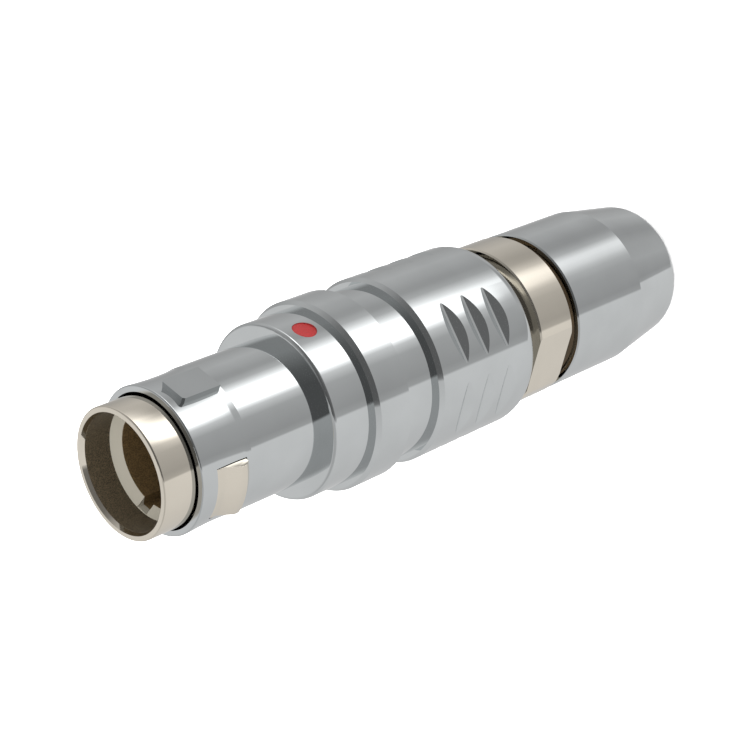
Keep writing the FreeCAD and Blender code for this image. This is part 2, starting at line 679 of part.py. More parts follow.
def cable_collet():
    """Slotted collet whose cone the body squeezes onto the cable."""
    collet = revolved([
        (COLLET_BORE_RADIUS, COLLET_REAR),
        (COLLET_HEAD_RADIUS, COLLET_REAR),
        (COLLET_HEAD_RADIUS, COLLET_CONE_REAR),
        (COLLET_HEAD_RADIUS - COLLET_CONE_DROP, COLLET_FRONT),
        (COLLET_BORE_RADIUS, COLLET_FRONT),
    ])
    half_slot = COLLET_SLOT_WIDTH / 2
    slot = block((0, FAR), (-half_slot, half_slot), (COLLET_REAR + COLLET_UNCUT_LENGTH, MOUTH))
    slots = []
    for number in range(COLLET_SLOT_COUNT):
        slots.append(turned_about_axis(slot, number * 360.0 / COLLET_SLOT_COUNT))
    return collet.cut(slots)


def back_nut():
    """Clamp nut: cylinder, taper, rounded rear edge and the cable's entry bore."""
    taper_front = NUT_LENGTH - NUT_CYLINDER_LENGTH
    end_radius = NUT_RADIUS - taper_front * math.tan(math.radians(NUT_TAPER_DEGREES))
    cavity_radius = COLLET_HEAD_RADIUS + CONE_FIT
    shoulder = THREAD_REAR - NUT_SHOULDER_GAP
    nut = revolved([
        (NUT_BORE_RADIUS + NUT_BORE_BEVEL, 0),
        (end_radius, 0),
        (NUT_RADIUS, taper_front),
        (NUT_RADIUS, NUT_LENGTH - NUT_FRONT_BEVEL),
        (NUT_RADIUS - NUT_FRONT_BEVEL, NUT_LENGTH),
        (NUT_THREAD_RADIUS, NUT_LENGTH),
        (NUT_THREAD_RADIUS, shoulder),
        (cavity_radius, shoulder),
        (cavity_radius, NUT_END_WALL),
        (NUT_BORE_RADIUS, NUT_END_WALL),
        (NUT_BORE_RADIUS, NUT_BORE_BEVEL),
    ])
    return nut.makeFillet(NUT_REAR_ROUND, edges_at(nut, end_radius, 0))


def all_pieces():
    """Every piece of the plug by the name of its node."""
    pieces = {
        "guide_sleeve": guide_sleeve(),
        "latch_sleeve": latch_sleeve(),
        "latch_finger_a": latch_finger(1),
        "latch_finger_b": latch_finger(-1),
        "outer_shell": outer_shell(),
        "alignment_dot": alignment_dot(),
        "collar_body": collar_body(),
        "shell_seal": shell_seal(),
        "stop_ring": stop_ring(),
        "insert_carrier_a": insert_carrier(1),
        "insert_carrier_b": insert_carrier(-1),
        "insulator": insulator(),
        "earthing_cone": earthing_cone(),
        "cable_seal": cable_seal(),
        "clamp_washer": clamp_washer(),
        "cable_collet": cable_collet(),
        "back_nut": back_nut(),
    }
    for number, place in enumerate(pin_places(), start=1):
        pieces["contact_pin_%02d" % number] = contact_pin(place)
    return pieces


os.makedirs("parts", exist_ok=True)
for name, shape in all_pieces().items():
    shape.exportStep("parts/%s.step" % name)
    print(name, "valid" if shape.isValid() else "INVALID", len(shape.Solids), round(shape.Volume, 3))
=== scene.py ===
import math

import bmesh
import bpy
from mathutils import Matrix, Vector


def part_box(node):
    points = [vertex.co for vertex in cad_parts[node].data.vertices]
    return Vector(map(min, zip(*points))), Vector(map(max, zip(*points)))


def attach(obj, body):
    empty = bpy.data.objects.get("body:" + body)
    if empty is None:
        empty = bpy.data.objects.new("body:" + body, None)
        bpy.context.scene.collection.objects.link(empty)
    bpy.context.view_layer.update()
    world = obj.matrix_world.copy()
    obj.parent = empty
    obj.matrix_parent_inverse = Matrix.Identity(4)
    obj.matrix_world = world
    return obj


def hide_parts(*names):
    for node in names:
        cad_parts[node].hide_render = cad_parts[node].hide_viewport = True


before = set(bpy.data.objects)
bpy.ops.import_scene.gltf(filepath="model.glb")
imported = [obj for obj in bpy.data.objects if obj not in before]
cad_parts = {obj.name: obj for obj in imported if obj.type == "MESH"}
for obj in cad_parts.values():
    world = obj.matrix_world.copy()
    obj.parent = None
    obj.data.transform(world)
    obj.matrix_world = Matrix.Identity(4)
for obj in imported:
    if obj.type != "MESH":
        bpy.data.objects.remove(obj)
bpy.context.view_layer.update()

bl_info = {
    "name": "Push Pull Cable Plug",
    "version": (1, 0, 0),
    "blender": (4, 5, 0),
    "location": "View3D > Sidebar > Plug",
    "description": "Dresses the packed push pull plug with turned metal pieces, finishes and a light set",
    "category": "Object",
}

# Pieces are drawn in millimetres and shrunk to metres when they are finished
MM = 1000.0
TURN_STEPS = 288
PLACE_TOLERANCE = 0.002
TURN_MERGE = 0.0001
SMOOTH_DEGREES = 7.5
NORMAL_WEIGHT = 80
# Further than any piece reaches
FAR = 30.0


def top_of(node):
    """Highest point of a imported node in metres."""
    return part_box(node)[1].z


def foot_of(node):
    """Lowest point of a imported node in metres."""
    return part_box(node)[0].z


def reach_of(node):
    """Largest distance toward +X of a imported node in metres."""
    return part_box(node)[1].x


# Sizes and colours that a user would change

def length_property(name, description, default):
    return bpy.props.FloatProperty(
        name=name, description=description, default=default, min=0.0, precision=5,
        unit="LENGTH", subtype="DISTANCE",
    )


def colour_property(name, description, default):
    return bpy.props.FloatVectorProperty(
        name=name, description=description, default=default, min=0.0, max=1.0,
        size=3, subtype="COLOR",
    )


class ShellSizes(bpy.types.PropertyGroup):
    rear: length_property("Rear", "Height of the grip's rear edge", foot_of("outer_shell"))
    front: length_property("Front", "Height of the nose's front rim", top_of("outer_shell"))
    grip_radius: length_property("Grip radius", "Radius of the grip", 0.008)
    grip_length: length_property("Grip length", "Length of the grooved grip", 0.01218)
    neck_length: length_property("Neck", "Length of the neck before the grip", 0.00357)
    middle_ring_length: length_property("Middle ring", "Length of the ring behind the dot", 0.00361)
    dot_ring_length: length_property("Dot ring", "Length of the ring with the dot", 0.00394)
    dot_ring_radius: length_property("Dot ring radius", "Radius of the dot ring", 0.00732)
    nose_radius: length_property("Nose radius", "Radius of the nose behind its waist", 0.00594)
    groove_pitch: length_property("Groove pitch", "Distance between two grip grooves", 0.002475)
    groove_depth: length_property("Groove depth", "Depth of a grip groove", 0.00045)


class TubeSizes(bpy.types.PropertyGroup):
    mouth: length_property("Mouth", "Height of the front rim", top_of("guide_sleeve"))
    radius: length_property("Radius", "Outer radius of the front tube", 0.00526)
    bore: length_property("Bore", "Radius of the socket bore", 0.00391)
    keyway: length_property("Keyway", "Width of the keyway in the bore", 0.0011)


class NutSizes(bpy.types.PropertyGroup):
    length: length_property("Length", "Length of the back nut", top_of("back_nut"))
    radius: length_property("Radius", "Radius of the back nut", reach_of("back_nut"))
    bore: length_property("Bore", "Radius of the cable entry", 0.00375)
    pitch: length_property("Thread pitch", "Advance of the body's rear thread in a turn", 0.00075)


class FinishColours(bpy.types.PropertyGroup):
    plate: colour_property("Bright plate", "Plating of shell and nut", (0.728, 0.752, 0.757))
    nickel: colour_property("Nickel", "Warm nickel of tube, lugs and collar", (0.90, 0.835, 0.725))
    # Bore, step and depth paint light and shade inside the front tube's bore: darkened nickel as painted
    # shade on the wall and behind the step, and a pale painted highlight on the step that faces the mouth
    bore: colour_property("Bore", "Painted shade on the wall of the front tube's bore", (0.050, 0.038, 0.022))
    step: colour_property("Bore step", "Step in the front tube's bore, painted pale as a highlight", (0.285, 0.265, 0.218))
    depth: colour_property("Bore depth", "Golden-toned painted shade behind the step", (0.074, 0.047, 0.019))
    # Thread and spigot are nickel darkened as painted shade in the gaps to the nut and to the grip
    thread: colour_property("Thread", "Painted shade on the rear thread in the gap to the nut", (0.16, 0.12, 0.08))
    spigot: colour_property("Spigot", "Painted shade on the spigot in the gap to the grip", (0.61, 0.575, 0.515))
    dot: colour_property("Dot", "Enamel of the alignment dot", (0.205, 0.009, 0.009))
    floor: colour_property("Floor", "Pale floor", (0.9, 0.9, 0.9))


# Modelling steps that several pieces share

def clear_selection():
    bpy.ops.object.select_all(action="DESELECT")


def select_pieces(*pieces):
    """Selects these pieces alone and makes the first one active."""
    clear_selection()
    for piece in pieces:
        piece.select_set(True)
    bpy.context.view_layer.objects.active = pieces[0]


def apply_modifier(piece, kind, settings):
    """Adds a modifier with its settings and applies it."""
    select_pieces(piece)
    modifier = piece.modifiers.new("step", kind)
    for name, value in settings.items():
        setattr(modifier, name, value)
    bpy.ops.object.modifier_apply(modifier=modifier.name)


def mark_vertices(piece, wanted):
    """Selects the vertices whose place passes a test, and nothing else."""
    bpy.ops.mesh.select_all(action="DESELECT")
    mesh = bmesh.from_edit_mesh(piece.data)
    marked = [vertex for vertex in mesh.verts if wanted(vertex.co)]
    if not marked:
        raise RuntimeError("No vertex of " + piece.name + " is where it should be")
    for vertex in marked:
        vertex.select_set(True)
    mesh.select_flush(True)
    bmesh.update_edit_mesh(piece.data)


def bevel_edges(piece, wanted, offset, segments):
    """Bevels the edges whose two ends pass a test together."""
    bpy.ops.mesh.select_all(action="DESELECT")
    bpy.context.tool_settings.mesh_select_mode = (False, True, False)
    mesh = bmesh.from_edit_mesh(piece.data)
    marked = [edge for edge in mesh.edges if wanted(edge.verts[0].co, edge.verts[1].co)]
    if not marked:
        raise RuntimeError("No edge of " + piece.name + " is where it should be")
    for edge in marked:
        edge.select_set(True)
    bmesh.update_edit_mesh(piece.data)
    bpy.ops.mesh.bevel(offset=offset, segments=segments, affect="EDGES")
    bpy.context.tool_settings.mesh_select_mode = (True, False, False)


def near(place, radius, height):
    return abs(place.x - radius) < PLACE_TOLERANCE and abs(place.z - height) < PLACE_TOLERANCE


def lone_vertex(name, place):
    """New piece in edit mode with one vertex, from which an outline is drawn."""
    clear_selection()
    bpy.ops.mesh.primitive_plane_add(size=1.0, location=place)
    piece = bpy.context.object
    piece.name = name
    bpy.ops.object.transform_apply(location=True)
    bpy.ops.object.mode_set(mode="EDIT")
    bpy.ops.mesh.select_all(action="SELECT")
    bpy.ops.mesh.merge(type="CENTER")
    return piece


def close_mesh(merge_distance):
    """Merges doubles, turns the faces outward and leaves edit mode."""
    bpy.ops.mesh.select_all(action="SELECT")
    bpy.ops.mesh.remove_doubles(threshold=merge_distance)
    bpy.ops.mesh.normals_make_consistent(inside=False)
    bpy.ops.object.mode_set(mode="OBJECT")


def turned_piece(name, corners):
    """Closed solid turned from corners: radius, height and, if round, rounding and segments."""
    first = corners[0]
    last = corners[-1]
    piece = lone_vertex(name, (first[0], 0.0, first[1]))
    for start, end in zip(corners, corners[1:]):
        move = (end[0] - start[0], 0.0, end[1] - start[1])
        bpy.ops.mesh.extrude_vertices_move(TRANSFORM_OT_translate={"value": move})
    mark_vertices(piece, lambda place: any(near(place, end[0], end[1]) for end in (first, last)))
    bpy.ops.mesh.edge_face_add()
    for radius, height, *rounding in corners:
        if rounding:
            mark_vertices(piece, lambda place: near(place, radius, height))
            bpy.ops.mesh.bevel(
                offset_type="OFFSET", offset=rounding[0], segments=rounding[1], affect="VERTICES",
            )
    bpy.ops.mesh.select_all(action="SELECT")
    bpy.ops.mesh.spin(
        steps=TURN_STEPS, angle=2 * math.pi, center=(0.0, 0.0, 0.0), axis=(0.0, 0.0, 1.0),
    )
    close_mesh(TURN_MERGE)
    return piece


def block_piece(name, low, high):
    """Box between two corners."""
    clear_selection()
    middle = [(a + b) / 2 for a, b in zip(low, high)]
    bpy.ops.mesh.primitive_cube_add(size=1.0, location=middle)
    piece = bpy.context.object
    piece.name = name
    piece.scale = [b - a for a, b in zip(low, high)]
    bpy.ops.object.transform_apply(location=True, rotation=True, scale=True)
    return piece


def round_bar(name, inner, outer, height, radius):
    """Short round bar that points toward +X."""
    clear_selection()
    bpy.ops.mesh.primitive_cylinder_add(
        vertices=64, radius=radius, depth=outer - inner,
        location=((inner + outer) / 2, 0.0, height), rotation=(0.0, math.pi / 2, 0.0),
    )
    piece = bpy.context.object
    piece.name = name
    bpy.ops.object.transform_apply(location=True, rotation=True, scale=True)
    return piece


def combine(piece, tool, operation):
    """Cuts, joins or keeps the shared part of two closed pieces, and uses the tool up."""
    apply_modifier(piece, "BOOLEAN", {"operation": operation, "solver": "EXACT", "object": tool})
    bpy.data.objects.remove(tool, do_unlink=True)


def side_box(half_width, side):
    """Low and high corner of a tall box on one side of the plug, +Y for 1 and -Y for -1."""
    low = (-half_width, min(0.0, side * FAR), 0.0)
    high = (half_width, max(0.0, side * FAR), 2 * FAR)
    return low, high


def ring_part(name, corners, low, high):
    """The part of a turned ring that lies in a box."""
    piece = turned_piece(name, corners)
    combine(piece, block_piece(name + "_box", low, high), "INTERSECT")
    return piece


def finish_piece(piece, body, material, replaced, smooth_degrees=SMOOTH_DEGREES):
    """Shrinks a piece to metres, shades it, and sets it on its body."""
    select_pieces(piece)
    piece.scale = (1 / MM, 1 / MM, 1 / MM)
    bpy.ops.object.transform_apply(location=True, rotation=True, scale=True)
    bpy.ops.object.shade_smooth_by_angle(angle=math.radians(smooth_degrees))
    apply_modifier(piece, "WEIGHTED_NORMAL", {"keep_sharp": True, "weight": NORMAL_WEIGHT})
    piece.data.materials.clear()
    piece.data.materials.append(material)
    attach(piece, body)
    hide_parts(*replaced)


# Noise values between these two span a whole range
NOISE_LOW = 0.3
NOISE_HIGH = 0.7
SMUDGE_SCALE = 260.0
METAL_GRAIN = 9000.0
BORE_GRAIN = 13000.0
MOULDED_GRAIN = 6000.0
# Roughness spreads between these shares of its value, or these values
METAL_SPREAD = (0.8, 1.25)
MOULDED_SPREAD = (0.85, 1.15)
NICKEL_SHINE = (0.04, 0.06)
PLATE_ROUGHNESS = 0.035
NICKEL_ROUGHNESS = 0.045
# Shares to which a smudge or the grain dims a colour
METAL_SMUDGE = 0.94
NICKEL_SMUDGE = 0.95
MOULDED_MOTTLE = 0.86
SPECKLE_RANGE = (-0.6, 1.6)
WALL_SPECKLES = (0.55, 1.6)
DEPTH_SPECKLES = (0.6, 1.5)
# What the bore's shaded inside and the thread add to roughness and metallic
BORE_ROUGHER = 0.45
BORE_LESS_METALLIC = -0.7
THREAD_ROUGHER = 0.15
METAL_BUMP = 0.01
NICKEL_BUMP = 0.008
MOULDED_BUMP = 0.1
METAL_BUMP_DISTANCE = 0.00002
MOULDED_BUMP_DISTANCE = 0.00003


# Finishes

def surface_group():
    """Fine grain and soft smudges that every finish uses."""
    found = bpy.data.node_groups.get("fine_surface")
    if found:
        return found
    group = bpy.data.node_groups.new("fine_surface", "ShaderNodeTree")
    for name, default in (("Grain Scale", METAL_GRAIN), ("Smudge Scale", SMUDGE_SCALE)):
        socket = group.interface.new_socket(name=name, in_out="INPUT", socket_type="NodeSocketFloat")
        socket.default_value = default
    for name in ("Grain", "Smudge"):
        group.interface.new_socket(name=name, in_out="OUTPUT", socket_type="NodeSocketFloat")
    entry = group.nodes.new("NodeGroupInput")
    leave = group.nodes.new("NodeGroupOutput")
    place = group.nodes.new("ShaderNodeTexCoord")
    for name, detail in (("Grain", 3.0), ("Smudge", 2.0)):
        noise = group.nodes.new("ShaderNodeTexNoise")
        noise.inputs["Detail"].default_value = detail
        group.links.new(place.outputs["Object"], noise.inputs["Vector"])
        group.links.new(entry.outputs[name + " Scale"], noise.inputs["Scale"])
        group.links.new(noise.outputs["Fac"], leave.inputs[name])
    return group


def new_finish(name, grain_scale):
    """Node material with its shader, and the grain and smudge that go into it."""
    material = bpy.data.materials.new(name)
    material.use_nodes = True
    tree = material.node_tree
    tree.nodes.clear()
    shader = tree.nodes.new("ShaderNodeBsdfPrincipled")
    output = tree.nodes.new("ShaderNodeOutputMaterial")
    tree.links.new(shader.outputs["BSDF"], output.inputs["Surface"])
    surface = tree.nodes.new("ShaderNodeGroup")
    surface.node_tree = surface_group()
    surface.inputs["Grain Scale"].default_value = grain_scale
    return material, tree, shader, surface.outputs["Grain"], surface.outputs["Smudge"]


def feed(tree, value, socket):
    """Links a socket to another, or sets it to a number or a colour of three numbers."""
    if isinstance(value, bpy.types.NodeSocket):
        tree.links.new(value, socket)
    elif isinstance(value, tuple):
        socket.default_value = (*value, 1.0)
    else:
        socket.default_value = value


def worked_out(tree, operation, *values):
    """Result of a Math node on sockets and numbers."""
    node = tree.nodes.new("ShaderNodeMath")
    node.operation = operation
    for value, socket in zip(values, node.inputs):
        feed(tree, value, socket)
    return node.outputs["Value"]


def below(tree, value, limit):
    """One where a socket's value lies below a limit, or else nought."""
    return worked_out(tree, "LESS_THAN", value, limit)


def ranged(tree, noise, low, high):
    """Noise spread over a range."""
    node = tree.nodes.new("ShaderNodeMapRange")
    node.inputs["From Min"].default_value = NOISE_LOW
    node.inputs["From Max"].default_value = NOISE_HIGH
    node.inputs["To Min"].default_value = low
    node.inputs["To Max"].default_value = high
    tree.links.new(noise, node.inputs["Value"])
    return node.outputs["Result"]


def mixed_colour(tree, factor, first, second, kind="MIX"):
    """Mix of two colours by a socket; a colour is three numbers or a socket."""
    node = tree.nodes.new("ShaderNodeMix")
    node.data_type = "RGBA"
    node.blend_type = kind
    feed(tree, factor, node.inputs["Factor"])
    feed(tree, first, node.inputs["A"])
    feed(tree, second, node.inputs["B"])
    return node.outputs["Result"]


def dimmed(colour, share):
    return tuple(share * part for part in colour)


def mottled(tree, noise, colour, share):
    """Colour that the noise dims to a share in places."""
    return mixed_colour(tree, ranged(tree, noise, 0.0, 1.0), dimmed(colour, share), colour)


def speckled(tree, noise, colour, shares):
    """Colour in speckles, from a dim share of it to a bright one."""
    return mixed_colour(tree, noise, dimmed(colour, shares[0]), dimmed(colour, shares[1]))


def add_bump(tree, shader, height, strength, distance):
    bump = tree.nodes.new("ShaderNodeBump")
    bump.inputs["Strength"].default_value = strength
    bump.inputs["Distance"].default_value = distance
    tree.links.new(height, bump.inputs["Height"])
    tree.links.new(bump.outputs["Normal"], shader.inputs["Normal"])


def place_parts(tree, kind):
    """X, Y and Z of a kind of coordinate, as three sockets."""
    place = tree.nodes.new("ShaderNodeTexCoord")
    parts = tree.nodes.new("ShaderNodeSeparateXYZ")
    tree.links.new(place.outputs[kind], parts.inputs["Vector"])
    return parts.outputs["X"], parts.outputs["Y"], parts.outputs["Z"]


def axis_distance(tree, x, y):
    """Distance from the plug's axis, as a socket."""
    flat = tree.nodes.new("ShaderNodeCombineXYZ")
    tree.links.new(x, flat.inputs["X"])
    tree.links.new(y, flat.inputs["Y"])
    reach = tree.nodes.new("ShaderNodeVectorMath")
    reach.operation = "LENGTH"
    tree.links.new(flat.outputs["Vector"], reach.inputs[0])
    return reach.outputs["Value"]


def metal_finish(name, colour, roughness, bump=METAL_BUMP):
    """Plated or turned metal with a fine grain and soft smudges."""
    found = bpy.data.materials.get(name)
    if found:
        return found
    material, tree, shader, grain, smudge = new_finish(name, METAL_GRAIN)
    low, high = METAL_SPREAD
    feed(tree, mottled(tree, smudge, colour, METAL_SMUDGE), shader.inputs["Base Color"])
    feed(tree, ranged(tree, grain, roughness * low, roughness * high), shader.inputs["Roughness"])
    shader.inputs["Metallic"].default_value = 1.0
    add_bump(tree, shader, grain, bump, METAL_BUMP_DISTANCE)
    return material


def bored_finish(radius, mouth, shoulder, slope):
    """Nickel outside; inside the bore painted shade on the wall, a painted highlight on the pale step and
    golden-toned painted shade in the depth.
    """
    found = bpy.data.materials.get("bored_nickel")
    if found:
        return found
    colours = bpy.context.scene.plug_colours
    material, tree, shader, grain, smudge = new_finish("bored_nickel", BORE_GRAIN)
    x, y, height = place_parts(tree, "Object")
    narrow = below(tree, axis_distance(tree, x, y), radius)
    inside = worked_out(tree, "MULTIPLY", narrow, below(tree, height, mouth))
    speckles = ranged(tree, grain, *SPECKLE_RANGE)
    # Inside the bore the colours are painted light and shade: a darkened wall, a pale step as a painted
    # highlight and a darkened depth
    wall = speckled(tree, speckles, tuple(colours.bore), WALL_SPECKLES)
    depth = speckled(tree, speckles, tuple(colours.depth), DEPTH_SPECKLES)
    bore_light_and_shade = mixed_colour(tree, below(tree, height, shoulder), wall, tuple(colours.step))
    bore_light_and_shade = mixed_colour(tree, below(tree, height, shoulder - slope), bore_light_and_shade, depth)
    outer = mottled(tree, smudge, tuple(colours.nickel), NICKEL_SMUDGE)
    feed(tree, mixed_colour(tree, inside, outer, bore_light_and_shade), shader.inputs["Base Color"])
    shine = ranged(tree, grain, *NICKEL_SHINE)
    rough = worked_out(tree, "MULTIPLY_ADD", inside, BORE_ROUGHER, shine)
    metallic = worked_out(tree, "MULTIPLY_ADD", inside, BORE_LESS_METALLIC, 1.0)
    feed(tree, rough, shader.inputs["Roughness"])
    feed(tree, metallic, shader.inputs["Metallic"])
    add_bump(tree, shader, grain, NICKEL_BUMP, METAL_BUMP_DISTANCE)
    return material


def threaded_finish(thread_top, shoulder):
    """Nickel on the collar; on the thread and on the spigot in the gap to the grip, nickel darkened as
    painted shade.
    """
    found = bpy.data.materials.get("threaded_nickel")
    if found:
        return found
    colours = bpy.context.scene.plug_colours
    material, tree, shader, grain, smudge = new_finish("threaded_nickel", METAL_GRAIN)
    height = place_parts(tree, "Object")[2]
    threaded = below(tree, height, thread_top)
    beyond = worked_out(tree, "GREATER_THAN", height, shoulder)
    hidden = worked_out(tree, "MAXIMUM", threaded, beyond)
    # Painted shade: the thread and the spigot, hidden in gaps, get darkened nickel
    gap_shade = mixed_colour(tree, threaded, tuple(colours.spigot), tuple(colours.thread))
    outer = mottled(tree, smudge, tuple(colours.nickel), NICKEL_SMUDGE)
    feed(tree, mixed_colour(tree, hidden, outer, gap_shade), shader.inputs["Base Color"])
    shine = ranged(tree, grain, *NICKEL_SHINE)
    rough = worked_out(tree, "MULTIPLY_ADD", threaded, THREAD_ROUGHER, shine)
    feed(tree, rough, shader.inputs["Roughness"])
    shader.inputs["Metallic"].default_value = 1.0
    add_bump(tree, shader, grain, NICKEL_BUMP, METAL_BUMP_DISTANCE)
    return material


def moulded_finish(name, colour, roughness, grain_scale=MOULDED_GRAIN, bump=MOULDED_BUMP, gloss=0.5):
    """Plastic, rubber, enamel or paper with a fine mottled grain."""
    found = bpy.data.materials.get(name)
    if found:
        return found
    material, tree, shader, grain, smudge = new_finish(name, grain_scale)
    low, high = MOULDED_SPREAD
    feed(tree, mottled(tree, grain, colour, MOULDED_MOTTLE), shader.inputs["Base Color"])
    feed(tree, ranged(tree, smudge, roughness * low, roughness * high), shader.inputs["Roughness"])
    shader.inputs["Specular IOR Level"].default_value = gloss
    add_bump(tree, shader, grain, bump, MOULDED_BUMP_DISTANCE)
    return material


def bright_plate():
    return metal_finish("polished_plate", tuple(bpy.context.scene.plug_colours.plate), PLATE_ROUGHNESS)


def warm_nickel():
    return metal_finish("warm_nickel", tuple(bpy.context.scene.plug_colours.nickel), NICKEL_ROUGHNESS)


# Release shell in millimetres, with setbacks from the front rim of its nose
GRIP_BORE = 6.25
GRIP_BORE_LENGTH = 7.82
GRIP_END_ROUND = 1.46
RING_BEVEL_LENGTH = 0.39
RING_BEVEL_DEPTH = 0.27
DOT_RING_ROUND = 0.33
NOSE_WALL = 0.5
NOSE_ROOT_WALL = 0.62
NOSE_ROOT_FRONT = 2.44
NOSE_ROOT_BEVEL = 2.32
CHAMBER_BORE = 6.5
CHAMBER_CONE_FRONT = 0.38
CHAMBER_CONE_REAR = 0.97
# Waist and lip of the nose: inset, setback and, if round, rounding and segments
NOSE_WAIST = [
    (0.0, 4.82),
    (0.07, 4.34, 0.12, 4),
    (0.105, 3.54, 0.3, 5),
    (0.112, 2.54, 0.4, 5),
    (0.08, 1.54, 0.4, 5),
    (0.0, 0.26, 0.06, 3),
    (-0.02, 0.0, 0.16, 8),
]
PAD_HALF_WIDTH = 1.22
PAD_RISE = 0.31
PAD_SINK = 0.42
PAD_REAR_SETBACK = 4.57
PAD_FRONT_SETBACK = 1.07
PAD_FLARE = 1.08
PAD_CORNER_CUT = 0.17
WINDOW_SETBACK = 1.49
WINDOW_LENGTH = 2.88
WINDOW_HALF_WIDTH = 2.35
WINDOW_INNER = 3.9
WINDOW_OUTER = 9.0
WINDOW_EDGE_DEPTH = 0.09
WINDOW_SLOPE_LENGTH = 0.98
GROOVE_ROWS = 3
GROOVE_AZIMUTHS = (40.0, 90.0, 140.0, -40.0, -90.0, -140.0)
FIRST_GROOVE = 3.95
GROOVE_HALF_WIDTH = 0.1
GROOVE_FLARE = 17.0
GROOVE_ROUND = 0.07
DOT_HEIGHT = 1.94
DOT_POCKET_RADIUS = 1.0
DOT_POCKET_DEPTH = 0.35
DOT_POCKET_REACH = 1.0
DOT_RADIUS = 0.99
DOT_SINK = 0.12
DOT_THICKNESS = 0.23
DOT_SMOOTH_DEGREES = 50.0
DOT_DOME = ((0.1, 0.0), (0.16, 0.02), (0.2, 0.02))


# Operators, one for each piece or group of like pieces

